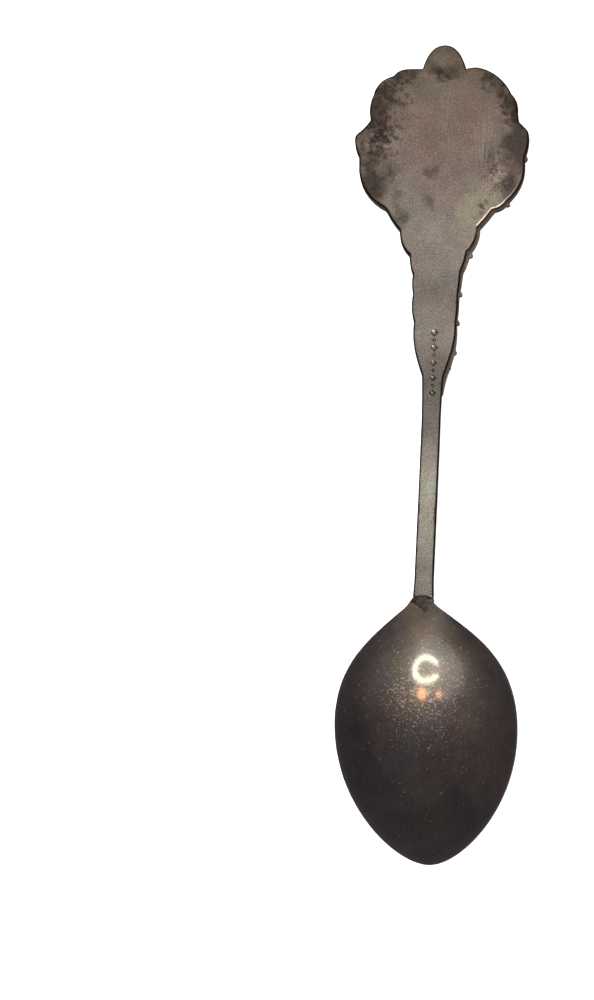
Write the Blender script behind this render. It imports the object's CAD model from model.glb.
import math

import bpy
from mathutils import Matrix, Vector


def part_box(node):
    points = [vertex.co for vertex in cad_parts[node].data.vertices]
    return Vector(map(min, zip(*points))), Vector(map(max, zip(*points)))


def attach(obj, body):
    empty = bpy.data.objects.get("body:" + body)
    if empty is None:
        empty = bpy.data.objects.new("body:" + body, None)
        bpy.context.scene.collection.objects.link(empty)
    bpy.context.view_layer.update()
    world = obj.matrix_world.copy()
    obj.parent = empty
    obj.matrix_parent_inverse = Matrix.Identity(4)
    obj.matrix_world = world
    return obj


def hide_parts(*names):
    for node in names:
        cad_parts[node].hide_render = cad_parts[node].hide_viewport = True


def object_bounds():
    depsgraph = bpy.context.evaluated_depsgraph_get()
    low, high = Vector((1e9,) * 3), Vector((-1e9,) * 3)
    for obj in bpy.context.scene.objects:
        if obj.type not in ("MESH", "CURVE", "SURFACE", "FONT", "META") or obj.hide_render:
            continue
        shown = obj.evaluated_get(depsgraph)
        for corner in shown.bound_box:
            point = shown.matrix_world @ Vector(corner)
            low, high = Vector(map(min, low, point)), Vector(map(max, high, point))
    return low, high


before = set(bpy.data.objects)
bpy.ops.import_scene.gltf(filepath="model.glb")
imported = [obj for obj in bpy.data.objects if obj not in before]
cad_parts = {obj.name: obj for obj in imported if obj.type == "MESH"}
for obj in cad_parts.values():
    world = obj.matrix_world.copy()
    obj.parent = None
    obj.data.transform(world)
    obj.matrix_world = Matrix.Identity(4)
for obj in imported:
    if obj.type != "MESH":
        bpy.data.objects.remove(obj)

# Souvenir spoon, lying face down. Sizes of its pieces are in millimetres, and the floor and lamps
# are in metres.
mm = 0.001
cadLow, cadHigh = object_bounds()


def clearSelection():
    if bpy.context.object and bpy.context.object.mode != "OBJECT":
        bpy.ops.object.mode_set(mode="OBJECT")
    bpy.ops.object.select_all(action="DESELECT")


def makeActive(piece):
    clearSelection()
    piece.select_set(True)
    bpy.context.view_layer.objects.active = piece


def applyPlace(piece):  # leaves a piece at the origin, unturned and unscaled
    makeActive(piece)
    bpy.ops.object.transform_apply(location=True, rotation=True, scale=True)


def applyModifier(piece, kind, **settings):
    makeActive(piece)
    modifier = piece.modifiers.new(kind.title(), kind)
    for key, value in settings.items():
        setattr(modifier, key, value)
    bpy.ops.object.modifier_apply(modifier=modifier.name)


def smoothByAngle(piece, degrees, keepFlats=False):  # keepFlats stops shading from creeping over wide flats
    makeActive(piece)
    bpy.ops.object.shade_smooth_by_angle(angle=math.radians(degrees))
    if keepFlats:
        applyModifier(piece, "WEIGHTED_NORMAL", keep_sharp=True)


def startFromNode(node, name):  # a merged copy of a CAD node, to be finished by hand
    piece = bpy.data.objects.new(name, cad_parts[node].data.copy())
    piece.data.name = name
    bpy.context.collection.objects.link(piece)
    makeActive(piece)
    bpy.ops.object.mode_set(mode="EDIT")
    bpy.ops.mesh.select_all(action="SELECT")
    bpy.ops.mesh.remove_doubles(threshold=0.002 * mm)
    bpy.ops.object.mode_set(mode="OBJECT")
    return piece


def joinPieces(pieces, name):
    clearSelection()
    for piece in pieces:
        piece.select_set(True)
    bpy.context.view_layer.objects.active = pieces[0]
    bpy.ops.object.join()
    pieces[0].name = name
    pieces[0].data.name = name
    return pieces[0]


def finishPiece(piece, material, node):
    piece.data.materials.clear()
    piece.data.materials.append(material)
    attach(piece, "root")
    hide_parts(node)


# Places come from the boxes of the CAD nodes. The heel is where the stem meets the bowl.
solderLow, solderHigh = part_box("heel_solder")
handleLow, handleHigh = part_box("handle")
badgeLow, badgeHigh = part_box("badge_tray")
bowlLow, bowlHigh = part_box("bowl")
heel = Vector(((badgeLow.x + badgeHigh.x) / 2, (solderLow.y + solderHigh.y) / 2, solderHigh.z))


def onCrest(x, down):  # millimetres from the crest's middle line and from its top
    return Vector((heel.x + x * mm, handleHigh.y - down * mm, 0))


def fromHeel(x, y, z=0):  # millimetres from the heel
    return heel + Vector((x, y, z)) * mm


def linearColor(hexColor):  # sRGB hex to the linear value that the shader wants
    parts = [int(hexColor[i:i + 2], 16) / 255 for i in (1, 3, 5)]
    return [p / 12.92 if p <= 0.04045 else ((p + 0.055) / 1.055) ** 2.4 for p in parts] + [1.0]


# Adds a node, or takes the one of that name, and fills it. A node or a socket given as a value is
# linked, and a hex colour is made linear. A colour Mix has sockets 0, 6 and 7, and output 2.
def addNode(tree, kind, settings):
    node = tree.nodes.get(kind) or tree.nodes.new(kind)
    for key, value in settings.items():
        if isinstance(value, bpy.types.Node):
            value = value.outputs[0]
        if isinstance(value, str) and value.startswith("#"):
            value = linearColor(value)
        if key == "stops":  # of a colour ramp: places, each with a grey value or a hex colour
            while len(node.color_ramp.elements) < len(value):
                node.color_ramp.elements.new(0.5)
            for element, (place, shade) in zip(node.color_ramp.elements, value):
                element.position = place
                element.color = linearColor(shade) if isinstance(shade, str) else (shade, shade, shade, 1)
        elif isinstance(value, bpy.types.NodeSocket):
            tree.links.new(value, node.inputs[key])
        elif isinstance(key, str) and hasattr(node, key):
            setattr(node, key, value)
        else:
            node.inputs[key].default_value = value
    return node


def newMaterial(name):  # with the Object coordinates that its patterns read
    material = bpy.data.materials.new(name)
    material.use_nodes = True
    tree = material.node_tree
    return material, tree, addNode(tree, "ShaderNodeTexCoord", {}).outputs["Object"]


def addPatches(tree, spot, patches):  # soft ovals as (middle, half size in mm, strength, turn in degrees)
    mask = None
    for middle, size, strength, turn in patches:
        oval = addNode(tree, "ShaderNodeMapping", {
            "vector_type": "TEXTURE", "Vector": spot, "Location": middle,
            "Rotation": (0, 0, math.radians(turn)), "Scale": (size[0] * mm, size[1] * mm, 1.0)})
        fade = addNode(tree, "ShaderNodeTexGradient", {"gradient_type": "SPHERICAL", "Vector": oval})
        part = addNode(tree, "ShaderNodeMath", {"operation": "MULTIPLY", 0: fade.outputs["Fac"], 1: strength})
        mask = addNode(tree, "ShaderNodeMath", {"operation": "MAXIMUM", 0: mask, 1: part}) if mask else part
    return mask


def addWear(tree, spot, color, wear):  # patches of another colour, broken up by a noise
    grain = {"Vector": spot, "Scale": 1 / (wear["grain"] * mm), "Detail": 3.0, "Roughness": 0.6}
    if "stretch" in wear:  # lines instead of specks
        drawn = addNode(tree, "ShaderNodeMapping", {"Vector": spot, "Scale": wear["stretch"]})
        grain.update({"Vector": drawn, "Detail": 2.0, "Roughness": 0.5})
    texture = addNode(tree, "ShaderNodeTexNoise", grain)
    patches = addPatches(tree, spot, wear["patches"])
    broken = addNode(tree, "ShaderNodeMath", {"operation": "ADD", 0: patches, 1: texture})
    amount = addNode(tree, "ShaderNodeValToRGB", {"Fac": broken, "stops": wear["stops"]})
    inside = addNode(tree, "ShaderNodeValToRGB", {"Fac": patches, "stops": [(0.0, 0.0), (0.08, 1.0)]})
    share = addNode(tree, "ShaderNodeMath", {"operation": "MULTIPLY", 0: amount, 1: inside})
    worn = {"data_type": "RGBA", 0: share, 6: color, 7: wear["color"]}
    return addNode(tree, "ShaderNodeMix", worn).outputs[2]


def addVeil(tree, color, texture, stops):  # darkens and tints a colour by a noise
    shade = addNode(tree, "ShaderNodeValToRGB", {"Fac": texture, "stops": stops})
    veil = {"data_type": "RGBA", "blend_type": "MULTIPLY", 0: 1.0, 6: color, 7: shade}
    return addNode(tree, "ShaderNodeMix", veil).outputs[2]


def addEdgeTarnish(tree, spot, color, look):  # on walls and rolled edges, less where a thumb rubs
    normal = addNode(tree, "ShaderNodeNewGeometry", {}).outputs["Normal"]
    # 1 on the flat back and 0 on the walls
    facing = addNode(tree, "ShaderNodeSeparateXYZ", {"Vector": normal}).outputs["Z"]
    rolled = addNode(tree, "ShaderNodeValToRGB", {"Fac": facing, "stops": [(0.8, 1.0), (0.97, 0.0)]})
    wall = addNode(tree, "ShaderNodeValToRGB", {"Fac": facing, "stops": [(0.45, 1.0), (0.62, 0.0)]})
    thumb = addPatches(tree, spot, look["rubbed"])
    kept = addNode(tree, "ShaderNodeValToRGB", {"Fac": thumb, "stops": [(0.0, 1.0), (0.35, 0.0)]})
    edge = addNode(tree, "ShaderNodeMath", {"operation": "MULTIPLY", 0: rolled, 1: kept})
    dark = addNode(tree, "ShaderNodeMath", {"operation": "MAXIMUM", 0: edge, 1: wall})
    edged = {"data_type": "RGBA", 0: dark, 6: color, 7: look["edgeDark"]}
    return addNode(tree, "ShaderNodeMix", edged).outputs[2]


# Old silver plate on nickel silver, gone warm grey under a thin film that is clouded and worn in
# places. The polished bowl still mirrors through its film, and the handle doesn't. The real grain is
# finer than a tenth of a millimetre, and is drawn coarser so that it shows.
plate = {"grainHeight": 0.01, "coatRough": 0.1, "coatIor": 1.8, "heatRough": 0.15}


def makePlate(name, look):
    material, tree, spot = newMaterial(name)
    along = addNode(tree, "ShaderNodeSeparateXYZ", {"Vector": spot}).outputs["Y"]
    share = addNode(tree, "ShaderNodeMapRange", {
        "Value": along, "From Min": look["from"], "From Max": look["to"]})
    color = addNode(tree, "ShaderNodeValToRGB", {"Fac": share, "stops": look["film"]}).outputs["Color"]
    cloud = addNode(tree, "ShaderNodeTexNoise", {
        "Vector": spot, "Scale": 1 / (look["cloudSize"] * mm), "Detail": 3.0, "Roughness": 0.6})
    color = addVeil(tree, color, cloud, look["cloud"])
    tint = addNode(tree, "ShaderNodeTexNoise", {
        "Vector": spot, "Scale": 1 / (look["tintSize"] * mm), "Detail": 1.0, "Roughness": 0.6})
    color = addVeil(tree, color, tint, look["tint"])
    for wear in look["wear"]:
        color = addWear(tree, spot, color, wear)
    if "edgeDark" in look:
        color = addEdgeTarnish(tree, spot, color, look)
    grain = addNode(tree, "ShaderNodeTexNoise", {
        "Vector": spot, "Scale": 1 / (look["grainSize"] * mm), "Detail": 2.0, "Roughness": 0.7})
    color = addVeil(tree, color, grain, look["grain"])
    coat = look["coat"]
    rough = addNode(tree, "ShaderNodeMapRange", {
        "Value": grain, "From Min": 0.3, "From Max": 0.7,
        "To Min": look["rough"][0], "To Max": look["rough"][1]})
    if "dull" in look:  # the heat of soldering took the polish off here
        heat = addPatches(tree, spot, look["dull"])
        dull = addNode(tree, "ShaderNodeValToRGB", {"Fac": heat, "stops": [(0.0, 0.0), (0.5, 1.0)]})
        extra = addNode(tree, "ShaderNodeMath", {"operation": "MULTIPLY", 0: dull, 1: plate["heatRough"]})
        rough = addNode(tree, "ShaderNodeMath", {"operation": "ADD", 0: rough, 1: extra})
        coat = addNode(tree, "ShaderNodeMath", {"operation": "SUBTRACT", 0: coat, 1: dull})
    bump = addNode(tree, "ShaderNodeBump", {
        "Strength": look["bump"], "Distance": plate["grainHeight"] * mm, "Height": grain})
    addNode(tree, "Principled BSDF", {
        "Base Color": color, "Roughness": rough, "Normal": bump, "Metallic": 1.0,
        "Coat Weight": coat, "Coat Roughness": plate["coatRough"], "Coat IOR": plate["coatIor"]})
    return material


# Soft solder gone dull and almost black: lumpy, without a shine
solder = {"lumpSize": 0.45, "lumpHeight": 0.04, "dark": "#231e1c", "light": "#4c443f", "metallic": 0.85,
          "rough": 0.55}


def makeSolder():
    material, tree, spot = newMaterial("tarnishedSolder")
    lumps = addNode(tree, "ShaderNodeTexNoise", {
        "Vector": spot, "Scale": 1 / (solder["lumpSize"] * mm), "Detail": 4.0, "Roughness": 0.65})
    stops = [(0.35, solder["dark"]), (0.7, solder["light"])]
    color = addNode(tree, "ShaderNodeValToRGB", {"Fac": lumps, "stops": stops})
    bump = addNode(tree, "ShaderNodeBump", {
        "Strength": 0.5, "Distance": solder["lumpHeight"] * mm, "Height": lumps})
    addNode(tree, "Principled BSDF", {
        "Base Color": color, "Normal": bump, "Metallic": solder["metallic"], "Roughness": solder["rough"]})
    return material


# Vitreous enamel: glass fired into cells, glossy, with faint clouding
enamel = {"cloudSize": 1.6, "rippleHeight": 0.02, "rough": 0.12, "ior": 1.52}


def makeEnamel(name, deep, light):
    material, tree, spot = newMaterial(name)
    cloud = addNode(tree, "ShaderNodeTexNoise", {
        "Vector": spot, "Scale": 1 / (enamel["cloudSize"] * mm), "Detail": 3.0, "Roughness": 0.6})
    color = addNode(tree, "ShaderNodeValToRGB", {"Fac": cloud, "stops": [(0.3, deep), (0.7, light)]})
    ripple = addNode(tree, "ShaderNodeBump", {
        "Strength": 0.2, "Distance": enamel["rippleHeight"] * mm, "Height": cloud})
    addNode(tree, "Principled BSDF", {
        "Base Color": color, "Normal": ripple, "Roughness": enamel["rough"], "IOR": enamel["ior"]})
    return material


# Thin gilding on brass: bright, with light wear
gilding = {"wearSize": 0.6, "worn": "#9a7440", "bright": "#d2a862", "rough": 0.28}


def makeGilding():
    material, tree, spot = newMaterial("gildedBrass")
    wear = addNode(tree, "ShaderNodeTexNoise", {
        "Vector": spot, "Scale": 1 / (gilding["wearSize"] * mm), "Detail": 4.0, "Roughness": 0.6})
    stops = [(0.35, gilding["worn"]), (0.7, gilding["bright"])]
    color = addNode(tree, "ShaderNodeValToRGB", {"Fac": wear, "stops": stops})
    addNode(tree, "Principled BSDF", {"Base Color": color, "Metallic": 1.0, "Roughness": gilding["rough"]})
    return material


# Clear cast resin over the badge: lets the enamels show, mirrors at a slant, with fine scuffs
resin = {"scuffSize": 0.25, "rough": (0.02, 0.1), "clear": "#fdf9ee", "mirror": "#ffffff", "ior": 1.5}


def makeResin():
    material, tree, spot = newMaterial("clearResin")
    scuffs = addNode(tree, "ShaderNodeTexNoise", {
        "Vector": spot, "Scale": 1 / (resin["scuffSize"] * mm), "Detail": 2.0, "Roughness": 0.6})
    rough = addNode(tree, "ShaderNodeMapRange", {
        "Value": scuffs, "To Min": resin["rough"][0], "To Max": resin["rough"][1]})
    mirror = addNode(tree, "Principled BSDF", {
        "Base Color": resin["mirror"], "Roughness": rough, "Metallic": 1.0})
    clear = addNode(tree, "ShaderNodeBsdfTransparent", {"Color": resin["clear"]})
    slant = addNode(tree, "ShaderNodeFresnel", {"IOR": resin["ior"]})
    mixed = addNode(tree, "ShaderNodeMixShader", {0: slant, 1: clear, 2: mirror})
    addNode(tree, "Material Output", {"Surface": mixed})
    return material


# Handle: one stamped blank with worn round edges and a struck row of plain lozenges and dots
handle = {"edge": 0.34, "segments": 5, "merge": 0.25, "firstMark": 40.2, "markGap": 2.1, "marks": 5,
          "markSize": 0.85, "markDepth": 0.22, "markShrink": 0.03, "dotSize": 0.24}

handleLook = {
    "from": handleLow.y, "to": handleHigh.y,
    # the film from the stem's end, where it is thinnest, to the top of the crest
    "film": [(0.0, "#a0979a"), (0.21, "#c6c0c3"), (0.31, "#91888c"), (0.41, "#948c90"), (0.48, "#b6aeb1"),
             (0.54, "#a0969a"), (0.63, "#b3a7ab"), (0.75, "#a09094"), (0.88, "#998787"), (1.0, "#7e6f68")],
    "cloudSize": 3.0, "cloud": [(0.3, 0.84), (0.7, 1.1)],
    "tintSize": 5.0, "tint": [(0.35, "#fdf5f3"), (0.65, "#fbfffb")],
    "grainSize": 0.2, "grain": [(0.3, 0.4), (0.7, 1.0)], "rough": (0.4, 0.5), "bump": 0.4,
    "coat": 0.0, "edgeDark": "#2c2624", "rubbed": [(onCrest(6.4, 23.6), (5.2, 4.0), 1.0, 0)],
    "wear": [
        # brighter metal where a thumb has rubbed the lower right
        {"color": "#bcb0a6", "grain": 1.8, "stops": [(0.55, 0.0), (0.85, 0.75)], "patches": [
            (onCrest(5.2, 23.0), (3.8, 5.4), 0.6, -30)]},
        # smooth dark film round the crest's edge
        {"color": "#4c4343", "grain": 2.2, "stops": [(0.58, 0.0), (0.92, 0.85)], "patches": [
            (onCrest(11.2, 14.5), (3.9, 5.8), 0.66, 0), (onCrest(9.8, 8.0), (2.6, 5.4), 0.5, 25),
            (onCrest(7.0, 4.6), (4.0, 2.0), 0.35, -40), (onCrest(9.6, 19.5), (2.2, 3.6), 0.4, -20),
            (onCrest(-9.6, 9.6), (5.4, 8.0), 0.5, -15), (onCrest(-6.0, 4.6), (5.0, 2.4), 0.4, 25),
            (onCrest(-9.6, 19.5), (5.4, 6.6), 0.48, 30), (onCrest(-6.4, 25.0), (3.4, 3.4), 0.24, 35),
            (onCrest(0.0, 3.8), (3.6, 2.0), 0.38, 0), (onCrest(0.0, 0.0), (3.5, 2.4), 0.22, 0),
            (onCrest(-1.0, 18.0), (2.4, 1.6), 0.22, 0), (onCrest(-0.8, 22.0), (1.8, 3.0), 0.2, 0)]},
        # mottled blotches of tarnish
        {"color": "#393030", "grain": 0.9, "stops": [(0.64, 0.0), (0.84, 0.75)], "patches": [
            (onCrest(-8.4, 12.8), (4.2, 6.4), 0.36, 0), (onCrest(-7.4, 7.6), (4.6, 4.6), 0.34, 40),
            (onCrest(-5.0, 4.7), (4.2, 2.0), 0.28, 15), (onCrest(9.6, 9.0), (2.6, 6.0), 0.32, 25),
            (onCrest(6.6, 5.2), (4.0, 2.0), 0.28, -35), (onCrest(6.2, 22.6), (1.6, 3.2), 0.26, -25),
            (onCrest(0.0, 4.0), (3.2, 1.6), 0.28, 0), (onCrest(9.0, 20.0), (2.4, 3.0), 0.16, 0),
            (onCrest(-9.0, 20.0), (3.6, 4.4), 0.2, 0)]},
        # small dark dots
        {"color": "#332a2a", "grain": 0.55, "stops": [(0.78, 0.0), (0.9, 0.75)], "patches": [
            (onCrest(-8.2, 12.6), (5.0, 7.0), 0.36, 0), (onCrest(-6.0, 6.0), (5.0, 4.0), 0.32, 25),
            (onCrest(8.6, 9.0), (3.4, 7.0), 0.32, 15), (onCrest(0.0, 4.2), (3.0, 1.8), 0.3, 0),
            (onCrest(7.6, 18.0), (3.4, 5.4), 0.34, 0)]},
        # bright scuffed grain on the right
        {"color": "#cfc4ba", "grain": 0.34, "stops": [(0.74, 0.0), (0.95, 0.6)], "patches": [
            (onCrest(8.0, 18.4), (3.0, 4.6), 0.36, -15)]},
        # polishing lines that run with the handle
        {"color": "#bdb1a8", "grain": 0.2, "stretch": (1.0, 0.06, 1.0), "stops": [(0.66, 0.0), (0.95, 0.45)],
         "patches": [(onCrest(6.0, 13.6), (2.6, 6.0), 0.34, 0), (onCrest(1.5, 14.0), (4.0, 8.0), 0.14, 0)]},
        # dark lines between them
        {"color": "#4f4544", "grain": 0.24, "stretch": (1.0, 0.05, 1.0), "stops": [(0.7, 0.0), (0.95, 0.5)],
         "patches": [(onCrest(7.0, 15.0), (2.6, 6.0), 0.36, 0)]},
        # fine scratch
        {"color": "#4b4140", "grain": 0.4, "stops": [(0.6, 0.0), (0.85, 0.6)], "patches": [
            (onCrest(-3.4, 10.2), (1.5, 0.1), 0.5, -20)]},
    ],
}


def rollRims(piece):  # rolls over the sharp edges that run round the blank, and leaves upright ones
    makeActive(piece)
    bpy.ops.object.mode_set(mode="EDIT")
    bpy.ops.mesh.select_mode(type="EDGE")
    bpy.ops.mesh.select_all(action="SELECT")
    bpy.ops.mesh.dissolve_limited(angle_limit=math.radians(0.3))
    bpy.ops.mesh.select_all(action="SELECT")
    bpy.ops.mesh.remove_doubles(threshold=handle["merge"] * mm)
    bpy.ops.mesh.select_all(action="DESELECT")
    bpy.ops.mesh.edges_select_sharp(sharpness=math.radians(40))
    bpy.ops.object.mode_set(mode="OBJECT")
    points = piece.data.vertices
    for edge in piece.data.edges:
        run = points[edge.vertices[1]].co - points[edge.vertices[0]].co
        edge.select = edge.select and abs(run.z) < 0.7 * run.length
    bpy.ops.object.mode_set(mode="EDIT")
    bpy.ops.mesh.bevel(offset=handle["edge"] * mm, segments=handle["segments"], profile=0.5,
                       clamp_overlap=True)
    bpy.ops.mesh.select_mode(type="VERT")
    bpy.ops.object.mode_set(mode="OBJECT")
    smoothByAngle(piece, 35)


def strikeMarks(piece):  # lozenges that narrow down the row, with a dot between each two
    cutters = []
    for i in range(2 * handle["marks"] - 1):
        place = onCrest(0.1, handle["firstMark"] + handle["markGap"] * i / 2)
        place.z = piece.ray_cast(Vector((place.x, place.y, 1.0)), Vector((0, 0, -1)))[1].z
        clearSelection()
        if i % 2 == 0:
            size = handle["markSize"] * (1 - handle["markShrink"] * i) * mm
            bpy.ops.mesh.primitive_cone_add(vertices=4, radius1=0.6 * size, radius2=size,
                                            depth=2 * handle["markDepth"] * mm, location=place)
        else:
            bpy.ops.mesh.primitive_ico_sphere_add(subdivisions=2, radius=handle["dotSize"] * mm,
                                                  location=place)
        cutters.append(bpy.context.object)
    cutter = joinPieces(cutters, "struck_marks")
    applyPlace(cutter)
    applyModifier(piece, "BOOLEAN", object=cutter, operation="DIFFERENCE", solver="EXACT")
    bpy.data.objects.remove(cutter)
    smoothByAngle(piece, 30, keepFlats=True)


handlePiece = startFromNode("handle", "handle_blank")
rollRims(handlePiece)
strikeMarks(handlePiece)
finishPiece(handlePiece, makePlate("tarnishedSilverPlate", handleLook), "handle")
print("handle", len(handlePiece.data.polygons))


# Bowl: pressed and polished, darker than the handle, with fine pits that catch the light
bowl = {"levels": 2, "crease": 0.7, "creaseAngle": 35}

bowlLook = {
    "from": bowlLow.y, "to": bowlHigh.y,
    # the film from the tip to the heel, darkest across the middle
    "film": [(0.0, "#8d8687"), (0.3, "#716a6e"), (0.5, "#6e676c"), (0.8, "#9a908e"), (1.0, "#a0948b")],
    "cloudSize": 4.0, "cloud": [(0.3, 0.76), (0.7, 1.14)],
    "tintSize": 6.0, "tint": [(0.35, "#fff4ee"), (0.65, "#f2f4ff")],
    "grainSize": 0.2, "grain": [(0.3, 0.55), (0.7, 1.0)], "rough": (0.4, 0.54), "bump": 0.12,
    "coat": 1.0, "dull": [(fromHeel(0, -0.5), (8.0, 4.0), 1.0, 0)],
    "wear": [
        # warmer, lighter film down the right flank
        {"color": "#a8948c", "grain": 3.0, "stops": [(0.5, 0.0), (1.0, 0.6)], "patches": [
            (fromHeel(9.6, -19), (5.0, 12.0), 0.7, 0)]},
        # fine bright pits, thickest round the middle of the back
        {"color": "#fbf5ee", "grain": 0.28, "stops": [(0.72, 0.0), (0.88, 0.8)], "patches": [
            (fromHeel(0.5, -12.5), (13.0, 13.0), 0.25, 0)]},
        # and a few larger ones all over
        {"color": "#fbf5ee", "grain": 0.4, "stops": [(0.76, 0.0), (0.8, 0.9)], "patches": [
            (fromHeel(0, -17), (40.0, 60.0), 0.1, 0)]},
    ],
}


def makeBowl():
    piece = startFromNode("bowl", "bowl_pressing")
    bpy.ops.object.mode_set(mode="EDIT")
    bpy.ops.mesh.select_all(action="SELECT")
    bpy.ops.mesh.tris_convert_to_quads(face_threshold=math.radians(25), shape_threshold=math.radians(60))
    bpy.ops.mesh.select_all(action="DESELECT")
    bpy.ops.mesh.edges_select_sharp(sharpness=math.radians(bowl["creaseAngle"]))
    bpy.ops.transform.edge_crease(value=bowl["crease"])
    bpy.ops.object.mode_set(mode="OBJECT")
    applyModifier(piece, "SUBSURF", levels=bowl["levels"], render_levels=bowl["levels"])
    smoothByAngle(piece, 45)
    return piece


bowlPiece = makeBowl()
finishPiece(bowlPiece, makePlate("polishedSilverPlate", bowlLook), "bowl")
print("bowl", len(bowlPiece.data.polygons))


# Struck front of the crest: crisp relief with a hair of rounding, evenly tarnished
front = {"edge": 0.07, "segments": 2}

frontLook = dict(handleLook, edgeDark="#564c47", film=[(0.0, "#a39791"), (1.0, "#9a8d88")],
                 cloud=[(0.3, 0.7), (0.7, 1.1)], wear=[])


def makeFront():
    piece = startFromNode("front_plate", "struck_front")
    bpy.ops.object.mode_set(mode="EDIT")
    bpy.ops.mesh.select_all(action="SELECT")
    bpy.ops.mesh.dissolve_limited(angle_limit=math.radians(0.3))
    bpy.ops.object.mode_set(mode="OBJECT")
    applyModifier(piece, "BEVEL", width=front["edge"] * mm, segments=front["segments"],
                  limit_method="ANGLE", angle_limit=math.radians(40))
    smoothByAngle(piece, 35, keepFlats=True)
    return piece


frontPiece = makeFront()
finishPiece(frontPiece, makePlate("struckSilverPlate", frontLook), "front_plate")
print("front", len(frontPiece.data.polygons))


# Heel: solder run out over the joint in lumps, as (place, half size) in millimetres from the heel
heelPatch = {"voxel": 0.07, "lumps": [
    ((0.0, 0.15, -0.12), (1.5, 0.6, 0.3)), ((0.15, -0.6, -0.2), (1.1, 0.85, 0.42)),
    ((0.4, -1.3, -0.08), (0.55, 0.75, 0.3)), ((-0.8, -0.25, -0.2), (0.65, 0.5, 0.35))]}


def makeHeelPatch():
    parts = [startFromNode("heel_solder", "heel_fill")]
    clearSelection()
    for place, size in heelPatch["lumps"]:
        bpy.ops.mesh.primitive_ico_sphere_add(subdivisions=4, radius=1.0, location=fromHeel(*place))
        lump = bpy.context.object
        lump.scale = Vector(size) * mm
        applyPlace(lump)
        parts.append(lump)
    piece = joinPieces(parts, "heel_solder_patch")
    applyModifier(piece, "REMESH", mode="VOXEL", voxel_size=heelPatch["voxel"] * mm)
    applyModifier(piece, "SMOOTH", factor=0.5, iterations=3)
    makeActive(piece)
    bpy.ops.object.shade_smooth()
    return piece


solderMaterial = makeSolder()
patchPiece = makeHeelPatch()
finishPiece(patchPiece, solderMaterial, "heel_solder")
print("solder", len(patchPiece.data.polygons))


# Pieces that keep their CAD shape
plainNodes = {
    "seam_solder": solderMaterial, "badge_solder": solderMaterial, "badge_tray": makeGilding(),
    "enamel_sky": makeEnamel("skyEnamel", "#4f8fc4", "#7ab2dc"),
    "enamel_sun": makeEnamel("sunEnamel", "#d79a22", "#f0c04a"),
    "enamel_hills": makeEnamel("hillEnamel", "#1f5636", "#357a4c"),
    "enamel_water": makeEnamel("waterEnamel", "#173f78", "#2559a0"),
    "enamel_field": makeEnamel("fieldEnamel", "#6b9430", "#8db84a"),
    "ribbon_enamel": makeEnamel("ribbonEnamel", "#e6dcc4", "#f5eedc"),
}
for nodeName, material in plainNodes.items():
    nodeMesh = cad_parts[nodeName].data
    nodeMesh.materials.clear()
    nodeMesh.materials.append(material)

# Dome: stands a hair clear of the enamels and the tray, so that no faces coincide
dome = {"gap": 0.02, "shrink": 0.997}


def makeDome():
    piece = startFromNode("badge_dome", "resin_dome")
    low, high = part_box("badge_dome")
    for vertex in piece.data.vertices:
        vertex.select = vertex.co.z > high.z - 0.01 * mm
    for item in list(piece.data.edges) + list(piece.data.polygons):
        item.select = False
    bpy.ops.object.mode_set(mode="EDIT")
    bpy.ops.transform.translate(value=(0, 0, -dome["gap"] * mm))
    bpy.ops.mesh.select_all(action="SELECT")
    bpy.ops.transform.resize(value=(dome["shrink"], dome["shrink"], 1), center_override=(low + high) / 2)
    bpy.ops.object.mode_set(mode="OBJECT")
    smoothByAngle(piece, 30, keepFlats=True)
    return piece


domePiece = makeDome()
finishPiece(domePiece, makeResin(), "badge_dome")
print("badge", len(domePiece.data.polygons))


# Floor of matt pale card, and a dim even surrounding
stage = {"floorSize": 4.0, "floor": "#f4f3f1", "floorRough": 0.9, "world": "#5f5b5c"}

clearSelection()
bpy.ops.mesh.primitive_plane_add(size=stage["floorSize"], location=(0, 0, cadLow.z - 0.02 * mm))
floor = bpy.context.object
floor.name = "floor"
cardMaterial, cardTree, cardSpot = newMaterial("paleCard")
addNode(cardTree, "Principled BSDF", {"Base Color": stage["floor"], "Roughness": stage["floorRough"]})
floor.data.materials.append(cardMaterial)
floor.visible_glossy = False

world = bpy.data.worlds.new("studio")
world.use_nodes = True
addNode(world.node_tree, "Background", {"Color": stage["world"]})
bpy.context.scene.world = world


def addLamp(name, place, target, size, power, color="#fff9e7", card=False, only=None):
    data = bpy.data.lights.new(name, "AREA")
    data.shape = "ELLIPSE"
    data.size, data.size_y = size
    data.energy = power
    data.color = linearColor(color)[:3]
    lamp = bpy.data.objects.new(name, data)
    bpy.context.collection.objects.link(lamp)
    lamp.location = place
    lamp.rotation_euler = (Vector(target) - Vector(place)).to_track_quat("-Z", "Y").to_euler()
    lamp.visible_glossy = not card  # a lamp for the card isn't mirrored, and the others only are
    lamp.visible_diffuse = card
    if only:  # lights these pieces and nothing else
        lamp.light_linking.receiver_collection = bpy.data.collections.new(name + "Only")
        for piece in only:
            lamp.light_linking.receiver_collection.objects.link(piece)
    return lamp


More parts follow.
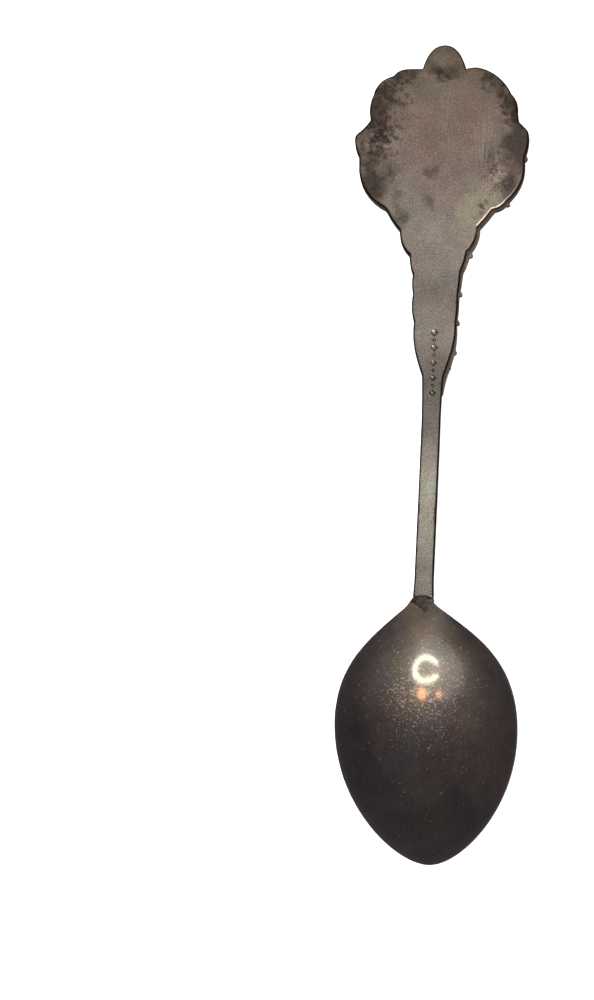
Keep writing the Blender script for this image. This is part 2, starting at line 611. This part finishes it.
# Two wide lamps light the card. Broad soft ones are what the flat crest and the bowl mirror, and a
# small low one picks out the rounded edges on the right.
handleSide = [handlePiece, frontPiece, patchPiece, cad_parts["seam_solder"]]
addLamp("cardLight", (-0.35, 0.25, 1.2), (0, 0, 0), (1.4, 1.4), 40, "#ffffff", card=True)
addLamp("cardFill", (0.45, -0.25, 1.2), (0, 0, 0), (1.4, 1.4), 30, "#ffffff", card=True)
addLamp("broadLight", (-0.11, 0.22, 1.1), (0, 0.035, 0), (1.6, 1.6), 1.35, only=handleSide)
addLamp("bowlLight", (-0.09, 0.2, 1.1), (0, 0, 0), (2.4, 2.4), 0.8, only=[bowlPiece])
addLamp("bowlFill", (-0.1, 0.3, 1.05), (0, -0.02, 0), (0.8, 0.6), 0.06, only=[bowlPiece])
addLamp("edgeLight", (0.42, -0.5, 0.66), (0, 0.02, 0), (0.24, 0.24), 13.0, only=handleSide)

# Ring of lamps, open to the right, that the bowl mirrors as a bright C, a little flatter than round.
# Two warm bulbs show below it.
ring = {"direction": (-0.053, 0.501, 0.864), "distance": 0.9, "radius": 0.124, "tall": 0.75,
        "from": 48, "to": 318, "count": 12, "size": (0.078, 0.046), "power": 0.12, "color": "#f9ffe2"}
glow = {"direction": (0.1, 0.5, 0.85), "distance": 0.95, "size": 0.62, "flat": 0.9, "steps": 6,
        "power": 0.042, "rise": 1.5}
bulbs = {"distance": 0.9, "color": "#ffb27a", "each": [
    {"direction": (-0.099, 0.297, 0.95), "size": 0.09, "power": 0.3},
    {"direction": (0.099, 0.298, 0.949), "size": 0.06, "power": 0.1}]}
glint = fromHeel(0.4, -8.6, 2.6)

ringAxis = Vector(ring["direction"]).normalized()
ringSide = ringAxis.cross(Vector((0, 0, 1))).normalized()
ringRise = ringSide.cross(ringAxis).normalized()
for i in range(ring["count"]):
    turn = math.radians(ring["from"] + (ring["to"] - ring["from"]) * i / (ring["count"] - 1))
    out = ringSide * math.cos(turn) + ringRise * math.sin(turn) * ring["tall"]
    place = glint + ringAxis * ring["distance"] + out * ring["radius"]
    lamp = addLamp(f"ring{i:02d}", place, glint, ring["size"], ring["power"], ring["color"])
    along = (ringRise * math.cos(turn) * ring["tall"] - ringSide * math.sin(turn)).normalized()
    across = ringAxis.cross(along).normalized()
    lamp.rotation_euler = Matrix((along, across, ringAxis)).transposed().to_euler()

for i in range(glow["steps"]):  # discs one in another, for a soft-edged glow behind the ring's open side
    size = glow["size"] * (i + 1) / glow["steps"]
    place = glint + Vector(glow["direction"]).normalized() * glow["distance"]
    addLamp(f"glow{i}", place, glint, (size, size * glow["flat"]), glow["power"] * (i + 1) ** glow["rise"],
            only=[bowlPiece])

for i, bulb in enumerate(bulbs["each"]):
    place = glint + Vector(bulb["direction"]).normalized() * bulbs["distance"]
    addLamp(f"bulb{i}", place, glint, (bulb["size"], bulb["size"]), bulb["power"], bulbs["color"],
            only=[bowlPiece])

# Camera above the spoon and a little to its right: place and target in millimetres, roll in degrees
camera = {"place": (52.62, -79.1, 544.7), "target": (-18.85, -7.05, 0.0), "roll": -43.06, "lens": 145.8,
          "sensor": 36}
cameraData = bpy.data.cameras.new("camera")
cameraData.lens = camera["lens"]
cameraData.sensor_width = camera["sensor"]
cameraData.clip_start = 0.01
cameraObject = bpy.data.objects.new("camera", cameraData)
bpy.context.collection.objects.link(cameraObject)
cameraObject.location = Vector(camera["place"]) * mm
aim = (Vector(camera["target"]) - Vector(camera["place"])).to_track_quat("-Z", "Y").to_matrix()
cameraObject.rotation_euler = (aim @ Matrix.Rotation(math.radians(camera["roll"]), 3, "Z")).to_euler()
bpy.context.scene.camera = cameraObject
bpy.context.scene.view_settings.view_transform = "Standard"
print("stage")
